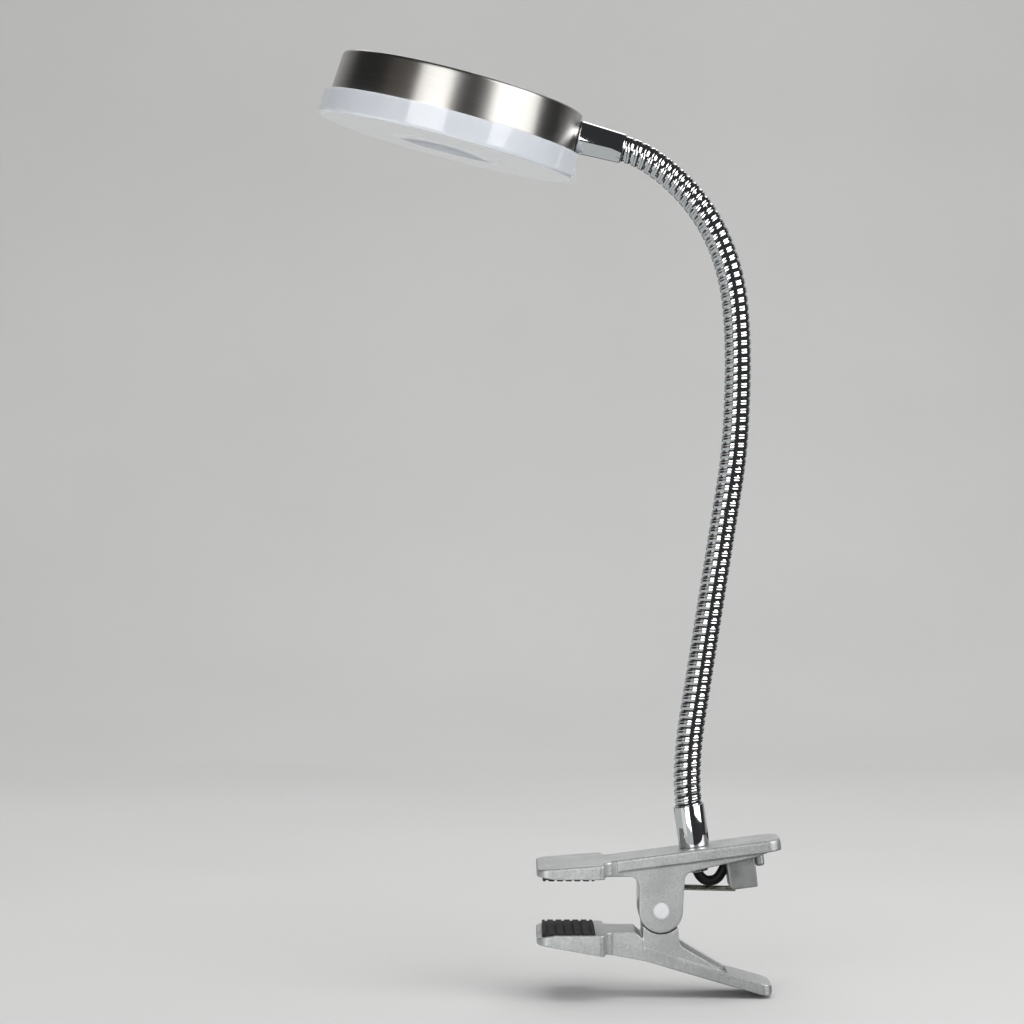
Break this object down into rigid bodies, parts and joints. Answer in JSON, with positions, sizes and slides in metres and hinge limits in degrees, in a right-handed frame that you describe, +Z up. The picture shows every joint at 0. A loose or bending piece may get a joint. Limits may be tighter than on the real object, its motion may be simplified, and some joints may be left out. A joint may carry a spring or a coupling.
{
  "type": "clip-on reading lamp",
  "caption": "Clip-on LED reading lamp: round flat head with opal diffuser on a chrome gooseneck that rises from a sprung metal clamp.",
  "frame": {"origin": "centre of the upper jaw pad's clamping face, which lies on the table top", "axes": "+Z up, -X out of the jaws over the table, +X towards the handles, the pivot pin along Y"},
  "size_m": [0.1569, 0.0906, 0.3194],
  "materials": {
    "cast_metal": "fine cast grain, satin silver",
    "brushed_nickel": "brushed nickel plate",
    "chrome": "polished",
    "plated_steel": "zinc plated",
    "grip_rubber": "matte",
    "pin_white": "smooth",
    "block_grey": "fine texture",
    "lead_black": "smooth",
    "spreader_aluminium": "mill finish",
    "board_white": "solder mask white",
    "led_yellow": "phosphor",
    "board_green": "solder mask green",
    "component_dark": "moulded",
    "opal": "opal acrylic"
  },
  "bodies": {
    "clamp": {"upper_jaw": "cast_metal", "upper_jaw_pad": "grip_rubber", "base_ferrule": "chrome", "base_washer": "plated_steel", "base_nut": "plated_steel", "cord_block": "block_grey", "block_screw": "plated_steel", "cord_bush": "grip_rubber", "base_lead": "lead_black", "pivot_pin": "pin_white", "pin_clip": "plated_steel", "torsion_spring": "plated_steel", "gooseneck_link_01": "chrome"},
    "lever": {"lower_jaw": "cast_metal", "lower_jaw_pad": "grip_rubber"},
    "neck_01": {"gooseneck_link_02": "chrome"},
    "neck_02": {"gooseneck_link_03": "chrome"},
    "neck_03": {"gooseneck_link_04": "chrome"},
    "neck_04": {"gooseneck_link_05": "chrome"},
    "neck_05": {"gooseneck_link_06": "chrome"},
    "neck_06": {"gooseneck_link_07": "chrome"},
    "neck_07": {"gooseneck_link_08": "chrome"},
    "neck_08": {"gooseneck_link_09": "chrome"},
    "neck_09": {"gooseneck_link_10": "chrome"},
    "neck_10": {"gooseneck_link_11": "chrome"},
    "neck_11": {"gooseneck_link_12": "chrome"},
    "head": {"gooseneck_link_13": "chrome", "head_ferrule": "chrome", "neck_gasket": "grip_rubber", "head_nut": "plated_steel", "housing": "brushed_nickel", "heat_spreader": "spreader_aluminium", "led_board": "board_white", "leds": "led_yellow", "board_screws": "plated_steel", "driver_board": "board_green", "driver_parts": "component_dark", "supply_plug": "board_white", "head_lead": "lead_black", "led_wires": "lead_black", "reflector": "board_white", "diffuser": "opal"}
  },
  "joints": [
    {"name": "jaw_pivot", "type": "hinge", "parent": "clamp", "child": "lever", "pos_m": [0.0312, 0, -0.0109], "axis": [0, 1, 0], "range_deg": [-38, 24], "stiffness_Nm_per_rad": 0.8, "springref_deg": 43.54, "deforming": ["torsion_spring"]},
    {"name": "neck_01_tilt", "type": "hinge", "parent": "clamp", "child": "neck_01", "pos_m": [0.0406, 0, 0.03404], "axis": [0, 1, 0], "range_deg": [-20, 20]},
    {"name": "neck_02_sway", "type": "hinge", "parent": "neck_01", "child": "neck_02", "pos_m": [0.04237, 0, 0.05394], "axis": [0.9874, 0, -0.1582], "range_deg": [-20, 20]},
    {"name": "neck_03_tilt", "type": "hinge", "parent": "neck_02", "child": "neck_03", "pos_m": [0.04554, 0, 0.07369], "axis": [0, 1, 0], "range_deg": [-20, 20]},
    {"name": "neck_04_sway", "type": "hinge", "parent": "neck_03", "child": "neck_04", "pos_m": [0.0487, 0, 0.09344], "axis": [0.9874, 0, -0.1582], "range_deg": [-20, 20]},
    {"name": "neck_05_tilt", "type": "hinge", "parent": "neck_04", "child": "neck_05", "pos_m": [0.05186, 0, 0.11319], "axis": [0, 1, 0], "range_deg": [-20, 20]},
    {"name": "neck_06_sway", "type": "hinge", "parent": "neck_05", "child": "neck_06", "pos_m": [0.05503, 0, 0.13294], "axis": [0.9874, 0, -0.1582], "range_deg": [-20, 20]},
    {"name": "neck_07_tilt", "type": "hinge", "parent": "neck_06", "child": "neck_07", "pos_m": [0.05717, 0, 0.15281], "axis": [0, 1, 0], "range_deg": [-20, 20]},
    {"name": "neck_08_sway", "type": "hinge", "parent": "neck_07", "child": "neck_08", "pos_m": [0.05781, 0, 0.1728], "axis": [-1, 0, 0.0087], "range_deg": [-20, 20]},
    {"name": "neck_09_tilt", "type": "hinge", "parent": "neck_08", "child": "neck_09", "pos_m": [0.05703, 0, 0.19278], "axis": [0, 1, 0], "range_deg": [-20, 20]},
    {"name": "neck_10_sway", "type": "hinge", "parent": "neck_09", "child": "neck_10", "pos_m": [0.05264, 0, 0.21223], "axis": [-0.9373, 0, -0.3486], "range_deg": [-20, 20]},
    {"name": "neck_11_tilt", "type": "hinge", "parent": "neck_10", "child": "neck_11", "pos_m": [0.04279, 0, 0.22953], "axis": [0, 1, 0], "range_deg": [-20, 20]},
    {"name": "neck_12_sway", "type": "hinge", "parent": "neck_11", "child": "head", "pos_m": [0.02802, 0, 0.24289], "axis": [-0.5461, 0, -0.8377], "range_deg": [-20, 20]}
  ]
}
